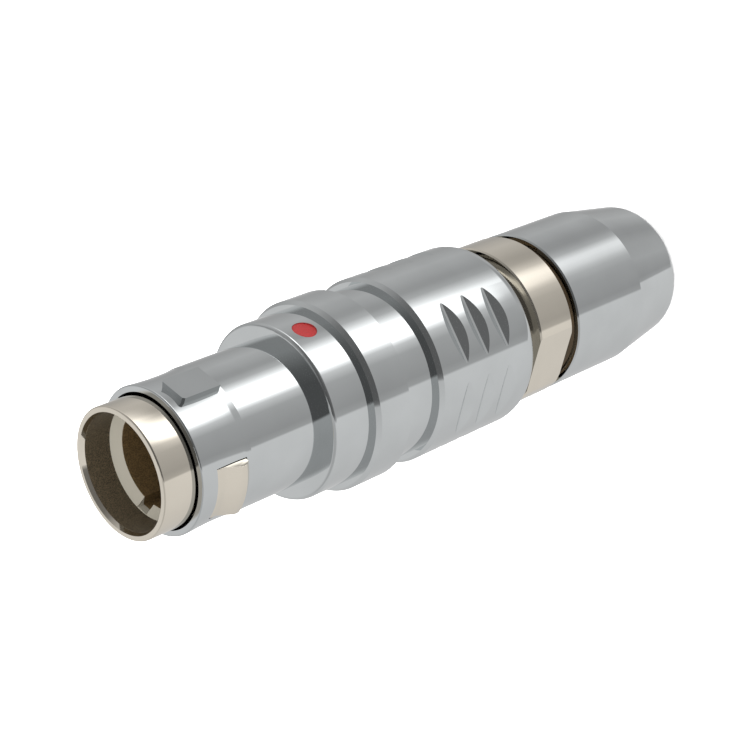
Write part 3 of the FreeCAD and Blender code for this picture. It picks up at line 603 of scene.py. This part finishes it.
class PLUG_OT_release_shell(bpy.types.Operator):
    """Turn the release shell, cut its windows and grooves, and set the key pad on it"""

    bl_idname = "plug.release_shell"
    bl_label = "Release Shell"

    def execute(self, context):
        sizes = context.scene.plug_shell
        rear = sizes.rear * MM
        front = sizes.front * MM
        grip = sizes.grip_radius * MM
        grip_front = rear + sizes.grip_length * MM
        ring_rear = grip_front + sizes.neck_length * MM
        ring_front = ring_rear + sizes.middle_ring_length * MM
        dot_front = ring_front + sizes.dot_ring_length * MM
        dot_ring = sizes.dot_ring_radius * MM
        nose = sizes.nose_radius * MM
        shell = turned_piece("release_shell_skin", [
            (GRIP_BORE, rear),
            (grip, rear, GRIP_END_ROUND, 18),
            (grip, grip_front - RING_BEVEL_LENGTH),
            (grip - RING_BEVEL_DEPTH, grip_front),
            (dot_ring, grip_front),
            (dot_ring, ring_rear),
            (grip, ring_rear),
            (grip, ring_front - RING_BEVEL_LENGTH),
            (grip - RING_BEVEL_DEPTH, ring_front),
            (dot_ring, ring_front),
            (dot_ring, dot_front, DOT_RING_ROUND, 12),
            (nose, dot_front),
            *[(nose - inset, front - setback, *rounding) for inset, setback, *rounding in NOSE_WAIST],
            (nose - NOSE_WALL, front),
            (nose - NOSE_WALL, dot_front + NOSE_ROOT_FRONT),
            (nose - NOSE_ROOT_WALL, dot_front + NOSE_ROOT_BEVEL),
            (nose - NOSE_ROOT_WALL, dot_front - CHAMBER_CONE_FRONT),
            (CHAMBER_BORE, dot_front - CHAMBER_CONE_REAR),
            (CHAMBER_BORE, rear + GRIP_BORE_LENGTH),
            (GRIP_BORE, rear + GRIP_BORE_LENGTH),
        ])
        combine(shell, self.key_pad(nose, front), "UNION")
        for side in (1, -1):
            combine(shell, self.lug_window(nose, front, side), "DIFFERENCE")
        combine(shell, self.grip_grooves(sizes, rear, grip), "DIFFERENCE")
        pocket = round_bar(
            "dot_pocket", dot_ring - DOT_POCKET_DEPTH, dot_ring + DOT_POCKET_REACH,
            ring_front + DOT_HEIGHT, DOT_POCKET_RADIUS,
        )
        combine(shell, pocket, "DIFFERENCE")
        finish_piece(shell, "release_shell", bright_plate(), ["outer_shell"])
        return {"FINISHED"}

    def key_pad(self, nose, front):
        """Flat-topped pad on the nose with flared sides and two cut front corners."""
        top = nose + PAD_RISE
        pad_front = front - PAD_FRONT_SETBACK
        pad = block_piece(
            "key_pad",
            (nose - PAD_SINK, -PAD_HALF_WIDTH, front - PAD_REAR_SETBACK),
            (top, PAD_HALF_WIDTH, pad_front),
        )
        bpy.ops.object.mode_set(mode="EDIT")
        mark_vertices(pad, lambda place: abs(place.x - top) < PLACE_TOLERANCE)
        bpy.ops.transform.resize(value=(1.0, PAD_FLARE, 1.0), center_override=(top, 0.0, front))

        def front_corner(start, end):
            rises = abs(start.x - end.x) > max(abs(start.y - end.y), abs(start.z - end.z))
            return rises and abs((start.z + end.z) / 2 - pad_front) < PLACE_TOLERANCE

        bevel_edges(pad, front_corner, PAD_CORNER_CUT, 1)
        bpy.ops.object.mode_set(mode="OBJECT")
        return pad

    def lug_window(self, nose, front, side):
        """Cutter for one window, with a front wall that slopes under the nose."""
        window_front = front - WINDOW_SETBACK
        window_rear = window_front - WINDOW_LENGTH
        return ring_part(
            "window",
            [
                (WINDOW_INNER, window_rear),
                (WINDOW_OUTER, window_rear),
                (WINDOW_OUTER, window_front),
                (nose - WINDOW_EDGE_DEPTH, window_front),
                (nose - NOSE_WALL, window_front + WINDOW_SLOPE_LENGTH),
                (WINDOW_INNER, window_front + WINDOW_SLOPE_LENGTH),
            ],
            *side_box(WINDOW_HALF_WIDTH, side),
        )

    def grip_grooves(self, sizes, rear, grip):
        """One cutter with all chord grooves, copied from a single ridge."""
        depth = sizes.groove_depth * MM
        first = block_piece(
            "groove",
            (grip - depth, -grip, -GROOVE_HALF_WIDTH),
            (grip + depth, grip, GROOVE_HALF_WIDTH),
        )
        bpy.ops.object.mode_set(mode="EDIT")
        mark_vertices(first, lambda place: place.x > grip)
        bpy.ops.transform.resize(value=(1.0, 1.0, GROOVE_FLARE))

        def bottom_edge(start, end):
            return start.x < grip and end.x < grip and abs(start.y - end.y) > grip

        bevel_edges(first, bottom_edge, GROOVE_ROUND, 3)
        bpy.ops.object.mode_set(mode="OBJECT")
        copies = []
        for row in range(GROOVE_ROWS):
            height = rear + FIRST_GROOVE + row * sizes.groove_pitch * MM
            for azimuth in GROOVE_AZIMUTHS:
                groove = first.copy()
                groove.data = first.data.copy()
                bpy.context.scene.collection.objects.link(groove)
                groove.rotation_euler = (0.0, 0.0, math.radians(azimuth))
                groove.location = (0.0, 0.0, height)
                copies.append(groove)
        bpy.data.objects.remove(first, do_unlink=True)
        select_pieces(*copies)
        bpy.ops.object.transform_apply(location=True, rotation=True, scale=True)
        bpy.ops.object.join()
        return bpy.context.object


class PLUG_OT_alignment_dot(bpy.types.Operator):
    """Set the enamelled dot in its pocket"""

    bl_idname = "plug.alignment_dot"
    bl_label = "Alignment Dot"

    def execute(self, context):
        sizes = context.scene.plug_shell
        ring_front = sizes.rear + sizes.grip_length + sizes.neck_length + sizes.middle_ring_length
        height = ring_front * MM + DOT_HEIGHT
        top = sizes.dot_ring_radius * MM - DOT_SINK
        dot = round_bar("enamel_dot", top - DOT_THICKNESS, top, height, DOT_RADIUS)
        bpy.ops.object.mode_set(mode="EDIT")
        mark_vertices(dot, lambda place: place.x > top - PLACE_TOLERANCE)
        for thickness, rise in DOT_DOME:
            bpy.ops.mesh.inset(thickness=thickness, depth=rise)
        bpy.ops.object.mode_set(mode="OBJECT")
        colour = tuple(context.scene.plug_colours.dot)
        enamel = moulded_finish("dot_enamel", colour, roughness=0.35, bump=0.05, gloss=0.35)
        finish_piece(
            dot, "release_shell", enamel, ["alignment_dot"], DOT_SMOOTH_DEGREES,
        )
        return {"FINISHED"}


# Front tube in millimetres, from its foot to its mouth
TUBE_FOOT = 34.0
TUBE_FLANGE_RADIUS = 5.6
TUBE_FLANGE_FRONT = 35.2
TUBE_WAIST_RADIUS = 4.85
TUBE_HEAD_LENGTH = 3.2
MOUTH_ROUND = 0.15
MOUTH_FLARE = 0.89
MOUTH_FLARE_LENGTH = 0.35
SOCKET_WIDENING = 0.75
SHOULDER_SETBACK = 2.67
SHOULDER_SLOPE = 0.64
KEYWAY_DEPTH = 0.7
KEYWAY_REAR = 6.2
KEYWAY_FRONT = 0.28
CHANNEL_HALF_WIDTH = 2.45
CHANNEL_INNER = 4.41
CHANNEL_OUTER = 5.19
# Where the painted light and shade of the bore starts, a little off the edges, in millimetres
SHADED_BORE_WIDENING = 0.78
SHADED_BORE_SETBACK = 0.36
STEP_MARGIN = 0.005
STEP_SLOPE = 0.62
# Latch fingers in millimetres
FINGER_ROOT = 37.45
FINGER_TIP = 56.95
FINGER_TIP_RADIUS = 5.385
FINGER_INNER = 4.92
FINGER_OUTER = 5.26
FINGER_HALF_WIDTH = 2.29
FINGER_EDGE_ROUND = 0.02
FINGER_EDGE_DEGREES = 40.0
FINGER_SMOOTH_DEGREES = 12.0
LUG_LENGTH = 2.76
LUG_REAR_RADIUS = 6.15
LUG_TOP_RADIUS = 6.45
LUG_TOP_REAR = 0.4
LUG_TOP_FRONT = 0.83
LUG_FRONT_RADIUS = 5.87
LUG_SLOPE_FRONT = 2.08
LUG_FRONT_GAP = 0.19


class PLUG_OT_front_tube(bpy.types.Operator):
    """Turn the front tube with its socket bore, shoulder and keyway"""

    bl_idname = "plug.front_tube"
    bl_label = "Front Tube"

    def execute(self, context):
        sizes = context.scene.plug_tube
        mouth = sizes.mouth * MM
        radius = sizes.radius * MM
        bore = sizes.bore * MM
        head_rear = mouth - TUBE_HEAD_LENGTH
        shoulder = mouth - SHOULDER_SETBACK
        tube = turned_piece("front_tube", [
            (bore, TUBE_FOOT),
            (TUBE_FLANGE_RADIUS, TUBE_FOOT),
            (TUBE_FLANGE_RADIUS, TUBE_FLANGE_FRONT),
            (TUBE_WAIST_RADIUS, TUBE_FLANGE_FRONT),
            (TUBE_WAIST_RADIUS, head_rear),
            (radius, head_rear),
            (radius, mouth, MOUTH_ROUND, 7),
            (bore + MOUTH_FLARE, mouth),
            (bore + SOCKET_WIDENING, mouth - MOUTH_FLARE_LENGTH),
            (bore + SOCKET_WIDENING, shoulder),
            (bore, shoulder - SHOULDER_SLOPE),
        ])
        keyway = block_piece(
            "keyway",
            (-bore - KEYWAY_DEPTH, -sizes.keyway * MM / 2, shoulder - KEYWAY_REAR),
            (0.0, sizes.keyway * MM / 2, shoulder + KEYWAY_FRONT),
        )
        combine(tube, keyway, "DIFFERENCE")
        channels = ring_part(
            "channels",
            [
                (CHANNEL_INNER, FINGER_ROOT),
                (CHANNEL_OUTER, FINGER_ROOT),
                (CHANNEL_OUTER, head_rear),
                (CHANNEL_INNER, head_rear),
            ],
            (-CHANNEL_HALF_WIDTH, -FAR, 0.0),
            (CHANNEL_HALF_WIDTH, FAR, 2 * FAR),
        )
        combine(tube, channels, "DIFFERENCE")
        finish = bored_finish(
            (bore + SHADED_BORE_WIDENING) / MM, (mouth - SHADED_BORE_SETBACK) / MM,
            (shoulder + STEP_MARGIN) / MM, STEP_SLOPE / MM,
        )
        finish_piece(tube, "plug_core", finish, ["guide_sleeve"])
        return {"FINISHED"}


class PLUG_OT_latch_fingers(bpy.types.Operator):
    """Make both latch fingers with their lugs"""

    bl_idname = "plug.latch_fingers"
    bl_label = "Latch Fingers"

    def execute(self, context):
        window_front = context.scene.plug_shell.front * MM - WINDOW_SETBACK
        lug_rear = window_front - LUG_LENGTH
        corners = [
            (FINGER_INNER, FINGER_ROOT),
            (FINGER_OUTER, FINGER_ROOT),
            (FINGER_OUTER, lug_rear),
            (LUG_REAR_RADIUS, lug_rear),
            (LUG_TOP_RADIUS, lug_rear + LUG_TOP_REAR),
            (LUG_TOP_RADIUS, lug_rear + LUG_TOP_FRONT),
            (LUG_FRONT_RADIUS, lug_rear + LUG_SLOPE_FRONT),
            (LUG_FRONT_RADIUS, window_front - LUG_FRONT_GAP),
            (FINGER_TIP_RADIUS, FINGER_TIP),
            (FINGER_INNER, FINGER_TIP),
        ]
        rounding = {
            "width": FINGER_EDGE_ROUND,
            "segments": 2,
            "limit_method": "ANGLE",
            "angle_limit": math.radians(FINGER_EDGE_DEGREES),
        }
        for side, body in ((1, "finger_a"), (-1, "finger_b")):
            finger = ring_part("sprung_" + body, corners, *side_box(FINGER_HALF_WIDTH, side))
            apply_modifier(finger, "BEVEL", rounding)
            finish_piece(
                finger, body, warm_nickel(), ["latch_" + body], FINGER_SMOOTH_DEGREES,
            )
        return {"FINISHED"}


# Inner body in millimetres: its outline as radius and height, flats and thread
BODY_OUTLINE = [
    (5.42, 7.3),
    (6.1, 7.3),
    (6.1, 16.77),
    (7.0, 16.77),
    (7.25, 17.02),
    (7.25, 20.97),
    (7.12, 21.1),
    (6.2, 21.1),
    (6.2, 25.05),
    (5.27, 25.05),
    (5.27, 26.35),
    (6.2, 26.35),
    (6.2, 30.05),
    (5.85, 30.05),
    (5.85, 31.05),
    (6.2, 31.05),
    (6.2, 34.0),
    (5.2, 34.0),
    (5.2, 20.2),
    (4.4, 20.2),
    (4.4, 19.2),
    (5.2, 19.2),
    (5.2, 8.7),
]
FLAT_DISTANCE = 6.65
FLAT_REAR = 16.7
FLAT_FRONT = 21.2
THREAD_TOP = 16.76
SPIGOT_FOOT = 21.09
THREAD_TURNS = 12
THREAD_STEPS = 120
THREAD_START = (5.9, 0.0, 7.35)
THREAD_ROOT_DEPTH = 0.25
THREAD_RISE = 0.45
# Shares of the pitch that a flank and the crest take
THREAD_FLANK = 0.42
THREAD_CREST = 0.12
THREAD_MERGE = 0.001


class PLUG_OT_collar(bpy.types.Operator):
    """Turn the inner body, mill its wrench flats and cut its rear thread"""

    bl_idname = "plug.collar"
    bl_label = "Collar"

    def execute(self, context):
        collar = turned_piece("collar_and_spigot", BODY_OUTLINE)
        for side in (1, -1):
            near_end, far_end = sorted((side * FLAT_DISTANCE, side * FAR))
            flat = block_piece("flat", (-FAR, near_end, FLAT_REAR), (FAR, far_end, FLAT_FRONT))
            combine(collar, flat, "DIFFERENCE")
        thread = self.thread(context.scene.plug_nut.pitch * MM)
        select_pieces(collar, thread)
        bpy.ops.object.join()
        finish = threaded_finish(THREAD_TOP / MM, SPIGOT_FOOT / MM)
        finish_piece(collar, "plug_core", finish, ["collar_body"])
        return {"FINISHED"}

    def thread(self, pitch):
        """Rear thread, a ridge that winds from the body's end to the collar."""
        ridge = lone_vertex("rear_thread", THREAD_START)
        for move in (
            (THREAD_ROOT_DEPTH, 0.0, 0.0),
            (THREAD_RISE, 0.0, pitch * THREAD_FLANK),
            (0.0, 0.0, pitch * THREAD_CREST),
            (-THREAD_RISE, 0.0, pitch * THREAD_FLANK),
            (-THREAD_ROOT_DEPTH, 0.0, 0.0),
        ):
            bpy.ops.mesh.extrude_vertices_move(TRANSFORM_OT_translate={"value": move})
        bpy.ops.mesh.select_all(action="SELECT")
        bpy.ops.mesh.edge_face_add()
        bpy.ops.object.mode_set(mode="OBJECT")
        apply_modifier(ridge, "SCREW", {
            "axis": "Z",
            "angle": 2 * math.pi,
            "screw_offset": pitch,
            "iterations": THREAD_TURNS,
            "steps": THREAD_STEPS,
            "render_steps": THREAD_STEPS,
            "use_merge_vertices": False,
        })
        bpy.ops.object.mode_set(mode="EDIT")
        close_mesh(THREAD_MERGE)
        return ridge


# Back nut in millimetres, from its rear end
ENTRY_BEVEL = 0.3
NUT_END_ROUND = 1.1
NUT_TAPER_FRONT = 7.03
NUT_TAPER_DEGREES = 8.97
NUT_FRONT_BEVEL = 0.12
NUT_THREAD_RADIUS = 6.68
NUT_THREAD_REAR = 6.9
COLLET_SEAT_RADIUS = 5.55
COLLET_SEAT_REAR = 1.85


class PLUG_OT_back_nut(bpy.types.Operator):
    """Turn the back nut with its tapered rear and the cable entry"""

    bl_idname = "plug.back_nut"
    bl_label = "Back Nut"

    def execute(self, context):
        sizes = context.scene.plug_nut
        length = sizes.length * MM
        radius = sizes.radius * MM
        bore = sizes.bore * MM
        end_radius = radius - NUT_TAPER_FRONT * math.tan(math.radians(NUT_TAPER_DEGREES))
        nut = turned_piece("back_nut_skin", [
            (bore + ENTRY_BEVEL, 0.0),
            (end_radius, 0.0, NUT_END_ROUND, 16),
            (radius, NUT_TAPER_FRONT),
            (radius, length - NUT_FRONT_BEVEL),
            (radius - NUT_FRONT_BEVEL, length),
            (NUT_THREAD_RADIUS, length),
            (NUT_THREAD_RADIUS, NUT_THREAD_REAR),
            (COLLET_SEAT_RADIUS, NUT_THREAD_REAR),
            (COLLET_SEAT_RADIUS, COLLET_SEAT_REAR),
            (bore, COLLET_SEAT_REAR),
            (bore, ENTRY_BEVEL),
        ])
        finish_piece(nut, "clamp_nut", bright_plate(), ["back_nut"])
        return {"FINISHED"}


# Colours of the pieces inside the plug
GOLD = (0.86, 0.62, 0.27)
BRASS = (0.72, 0.52, 0.25)
STEEL = (0.52, 0.52, 0.54)
RUBBER = (0.035, 0.034, 0.033)
MOULDING = (0.22, 0.155, 0.085)


class PLUG_OT_inner_finishes(bpy.types.Operator):
    """Give the pieces inside the plug their finishes"""

    bl_idname = "plug.inner_finishes"
    bl_label = "Inner Finishes"

    def execute(self, context):
        gold = metal_finish("pin_gold", GOLD, roughness=0.16)
        brass = metal_finish("turned_brass", BRASS, roughness=0.24, bump=0.04)
        spring = metal_finish("ring_steel", STEEL, roughness=0.22, bump=0.03)
        rubber = moulded_finish("black_rubber", RUBBER, roughness=0.62, bump=0.3)
        plastic = moulded_finish("brown_moulding", MOULDING, roughness=0.45, bump=0.12)
        chosen = {
            "insulator": plastic,
            "shell_seal": rubber,
            "cable_seal": rubber,
            "stop_ring": spring,
            "latch_sleeve": warm_nickel(),
            "insert_carrier_a": brass,
            "insert_carrier_b": brass,
            "earthing_cone": brass,
            "cable_collet": brass,
            "clamp_washer": brass,
        }
        for name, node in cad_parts.items():
            finish = gold if name.startswith("contact_pin") else chosen.get(name)
            if finish is not None:
                node.data.materials.clear()
                node.data.materials.append(finish)
        return {"FINISHED"}


# Brightness of the surroundings by azimuth in degrees
WALL_BANDS = [
    (-180.0, 0.575),
    (-158.0, 0.61),
    (-127.0, 0.66),
    (-81.5, 0.70),
    (-78.8, 0.43),
    (-70.0, 0.375),
    (-45.0, 0.43),
    (-33.0, 0.47),
    (-18.0, 0.455),
    (0.0, 0.44),
    (24.0, 0.37),
    (36.0, 0.385),
    (52.0, 0.46),
    (68.0, 0.51),
    (98.0, 0.40),
    (110.0, 0.41),
    (130.0, 0.70),
    (150.0, 0.60),
    (165.0, 0.58),
    (180.0, 0.575),
]
SOFT_BOX_HIGH = [
    (-36.0, 0.0),
    (-30.0, 0.13),
    (-24.0, 0.28),
    (-20.0, 0.7),
    (-15.0, 1.5),
    (6.0, 1.5),
    (12.0, 0.88),
    (18.0, 0.47),
    (24.0, 0.18),
    (34.0, 0.03),
    (40.0, 0.0),
]
SOFT_BOX_TOP = [
    (-30.0, 0.0),
    (-20.0, 0.08),
    (-12.0, 0.5),
    (-4.0, 1.3),
    (4.0, 1.7),
    (28.0, 1.7),
    (36.0, 1.0),
    (46.0, 0.55),
    (56.0, 0.15),
    (66.0, 0.0),
]
SOFT_BOX_LOW = [
    (-34.0, 0.0),
    (-24.0, 0.1),
    (-18.0, 0.24),
    (-12.0, 0.44),
    (-4.0, 0.6),
    (1.0, 0.6),
    (6.0, 0.4),
    (12.0, 0.14),
    (20.0, 0.05),
    (28.0, 0.0),
]
CURTAIN = [
    (-79.0, 0.0),
    (-73.0, 0.93),
    (-66.0, 1.0),
    (-12.0, 1.0),
    (6.0, 0.95),
    (18.0, 0.75),
    (30.0, 0.25),
    (44.0, 0.0),
]
CEILING = [
    (-180.0, 0.44),
    (-150.0, 0.46),
    (-81.5, 0.48),
    (-78.0, 0.105),
    (-24.0, 0.11),
    (4.0, 0.16),
    (24.0, 0.25),
    (43.0, 0.33),
    (90.0, 0.33),
    (104.0, 0.62),
    (120.0, 0.66),
    (137.0, 0.67),
    (160.0, 0.60),
    (180.0, 0.44),
]
# Heights of the direction, as a share of its length, between which a layer fades in
BOX_START = (-0.86, -0.74)
BOX_RISE = (-0.745, -0.66)
BOX_TOP_RISE = (-0.54, -0.4)
BOX_END = (-0.2, -0.02)
CURTAIN_RISE = (-0.28, -0.02)
CEILING_RISE = (0.22, 0.6)
BLACK = (0.0, 0.0, 0.0)
WHITE = (1.0, 1.0, 1.0)
CURTAIN_GREY = (0.15, 0.15, 0.15)
EVEN_STRENGTH = 2.8
FLOOR_SIZE = 6.0
FLOOR_HEIGHT = -0.0002
FLOOR_GRAIN = 900.0
KEY_PLACE = (0.25, -0.35, 0.6)
KEY_TURN = (33.0, 15.0, 0.0)
KEY_SIZE = 0.5
KEY_POWER = 3.0
# Camera in metres: its right, up and backward axes, its place and its lens
CAMERA_RIGHT = (0.18191, -0.68636, -0.70414)
CAMERA_UP = (0.81032, 0.51029, -0.28807)
CAMERA_BACK = (0.55703, -0.51818, 0.64900)
CAMERA_PLACE = (0.08088, -0.07569, 0.12857)
CAMERA_LENS = 84.43
CAMERA_SENSOR = 36.0
CAMERA_CLIP = (0.005, 20.0)


class PLUG_OT_stage(bpy.types.Operator):
    """Set the floor, the light and the camera"""

    bl_idname = "plug.stage"
    bl_label = "Stage"

    def execute(self, context):
        self.floor(context)
        self.sky(context)
        self.key_light()
        self.camera(context)
        context.scene.view_settings.view_transform = "Standard"
        return {"FINISHED"}

    def floor(self, context):
        clear_selection()
        bpy.ops.mesh.primitive_plane_add(size=FLOOR_SIZE, location=(0.0, 0.0, FLOOR_HEIGHT))
        floor = bpy.context.object
        floor.name = "floor"
        bpy.ops.object.transform_apply(location=True)
        colour = tuple(context.scene.plug_colours.floor)
        finish = moulded_finish("floor_paper", colour, roughness=0.8, grain_scale=FLOOR_GRAIN, bump=0.0)
        floor.data.materials.append(finish)
        floor.visible_glossy = False

    def sky(self, context):
        """Soft studio surroundings: even white for matt pieces, banded greys for bright metal."""
        world = bpy.data.worlds.new("studio")
        context.scene.world = world
        world.use_nodes = True
        tree = world.node_tree
        tree.nodes.clear()
        x, y, height = place_parts(tree, "Generated")
        turn = worked_out(tree, "ARCTAN2", y, x)
        azimuth = worked_out(tree, "MULTIPLY_ADD", turn, 0.5 / math.pi, 0.5)
        light = self.ramp(tree, azimuth, SOFT_BOX_LOW)
        for colour, span in (
            (self.ramp(tree, azimuth, SOFT_BOX_HIGH), BOX_RISE),
            (self.ramp(tree, azimuth, SOFT_BOX_TOP), BOX_TOP_RISE),
            (BLACK, BOX_END),
        ):
            light = mixed_colour(tree, self.fade(tree, height, span), light, colour)
        walls = self.ramp(tree, azimuth, WALL_BANDS)
        light = mixed_colour(tree, self.fade(tree, height, BOX_START), walls, light, "ADD")
        curtain = self.ramp(tree, azimuth, CURTAIN)
        hung = worked_out(tree, "MULTIPLY", curtain, self.fade(tree, height, CURTAIN_RISE))
        light = mixed_colour(tree, hung, light, CURTAIN_GREY)
        ceiling = self.ramp(tree, azimuth, CEILING)
        light = mixed_colour(tree, self.fade(tree, height, CEILING_RISE), light, ceiling)
        kind = tree.nodes.new("ShaderNodeLightPath")
        choice = tree.nodes.new("ShaderNodeMixShader")
        output = tree.nodes.new("ShaderNodeOutputWorld")
        tree.links.new(kind.outputs["Is Glossy Ray"], choice.inputs["Fac"])
        tree.links.new(self.glow(tree, WHITE, EVEN_STRENGTH), choice.inputs[1])
        tree.links.new(self.glow(tree, light, 1.0), choice.inputs[2])
        tree.links.new(choice.outputs["Shader"], output.inputs["Surface"])

    def glow(self, tree, colour, strength):
        node = tree.nodes.new("ShaderNodeBackground")
        node.inputs["Strength"].default_value = strength
        feed(tree, colour, node.inputs["Color"])
        return node.outputs["Background"]

    def fade(self, tree, height, span):
        """Smooth rise from nought to one between two heights of the direction."""
        node = tree.nodes.new("ShaderNodeMapRange")
        node.interpolation_type = "SMOOTHSTEP"
        node.inputs["From Min"].default_value = span[0]
        node.inputs["From Max"].default_value = span[1]
        tree.links.new(height, node.inputs["Value"])
        return node.outputs["Result"]

    def ramp(self, tree, azimuth, bands):
        """Colour ramp round the plug; a band is an azimuth in degrees and a brightness."""
        node = tree.nodes.new("ShaderNodeValToRGB")
        elements = node.color_ramp.elements
        for number, (degrees, light) in enumerate(bands):
            place = degrees / 360 + 0.5
            element = elements[number] if number < 2 else elements.new(place)
            element.position = place
            element.color = (light, light, light, 1.0)
        tree.links.new(azimuth, node.inputs["Fac"])
        return node.outputs["Color"]

    def key_light(self):
        clear_selection()
        bpy.ops.object.light_add(type="AREA", location=KEY_PLACE)
        lamp = bpy.context.object
        lamp.name = "soft_key"
        lamp.data.shape = "DISK"
        lamp.data.size = KEY_SIZE
        lamp.data.energy = KEY_POWER
        lamp.rotation_euler = [math.radians(degrees) for degrees in KEY_TURN]
        lamp.visible_glossy = False

    def camera(self, context):
        clear_selection()
        bpy.ops.object.camera_add()
        camera = bpy.context.object
        camera.name = "photo_view"
        rows = list(zip(CAMERA_RIGHT, CAMERA_UP, CAMERA_BACK, CAMERA_PLACE))
        camera.matrix_world = Matrix([*rows, (0.0, 0.0, 0.0, 1.0)])
        camera.data.lens = CAMERA_LENS
        camera.data.sensor_width = CAMERA_SENSOR
        camera.data.clip_start, camera.data.clip_end = CAMERA_CLIP
        context.scene.camera = camera


class PLUG_PT_panel(bpy.types.Panel):
    bl_idname = "PLUG_PT_panel"
    bl_label = "Push Pull Cable Plug"
    bl_space_type = "VIEW_3D"
    bl_region_type = "UI"
    bl_category = "Plug"

    def draw(self, context):
        layout = self.layout
        for group in GROUPS:
            box = layout.box()
            settings = getattr(context.scene, group)
            for name in settings.__annotations__:
                box.prop(settings, name)
        for operator in OPERATORS:
            layout.operator(operator.bl_idname)


GROUPS = {
    "plug_shell": ShellSizes,
    "plug_tube": TubeSizes,
    "plug_nut": NutSizes,
    "plug_colours": FinishColours,
}
OPERATORS = [
    PLUG_OT_release_shell,
    PLUG_OT_alignment_dot,
    PLUG_OT_front_tube,
    PLUG_OT_latch_fingers,
    PLUG_OT_collar,
    PLUG_OT_back_nut,
    PLUG_OT_inner_finishes,
    PLUG_OT_stage,
]


def register():
    for group in GROUPS.values():
        bpy.utils.register_class(group)
    for name, group in GROUPS.items():
        setattr(bpy.types.Scene, name, bpy.props.PointerProperty(type=group))
    for operator in OPERATORS:
        bpy.utils.register_class(operator)
    bpy.utils.register_class(PLUG_PT_panel)


def unregister():
    bpy.utils.unregister_class(PLUG_PT_panel)
    for operator in reversed(OPERATORS):
        bpy.utils.unregister_class(operator)
    for name in GROUPS:
        delattr(bpy.types.Scene, name)
    for group in reversed(list(GROUPS.values())):
        bpy.utils.unregister_class(group)


def main():
    register()
    bpy.ops.plug.stage()
    bpy.ops.plug.release_shell()
    bpy.ops.plug.alignment_dot()
    bpy.ops.plug.front_tube()
    bpy.ops.plug.latch_fingers()
    bpy.ops.plug.collar()
    bpy.ops.plug.back_nut()
    bpy.ops.plug.inner_finishes()


if __name__ == "__main__":
    main()
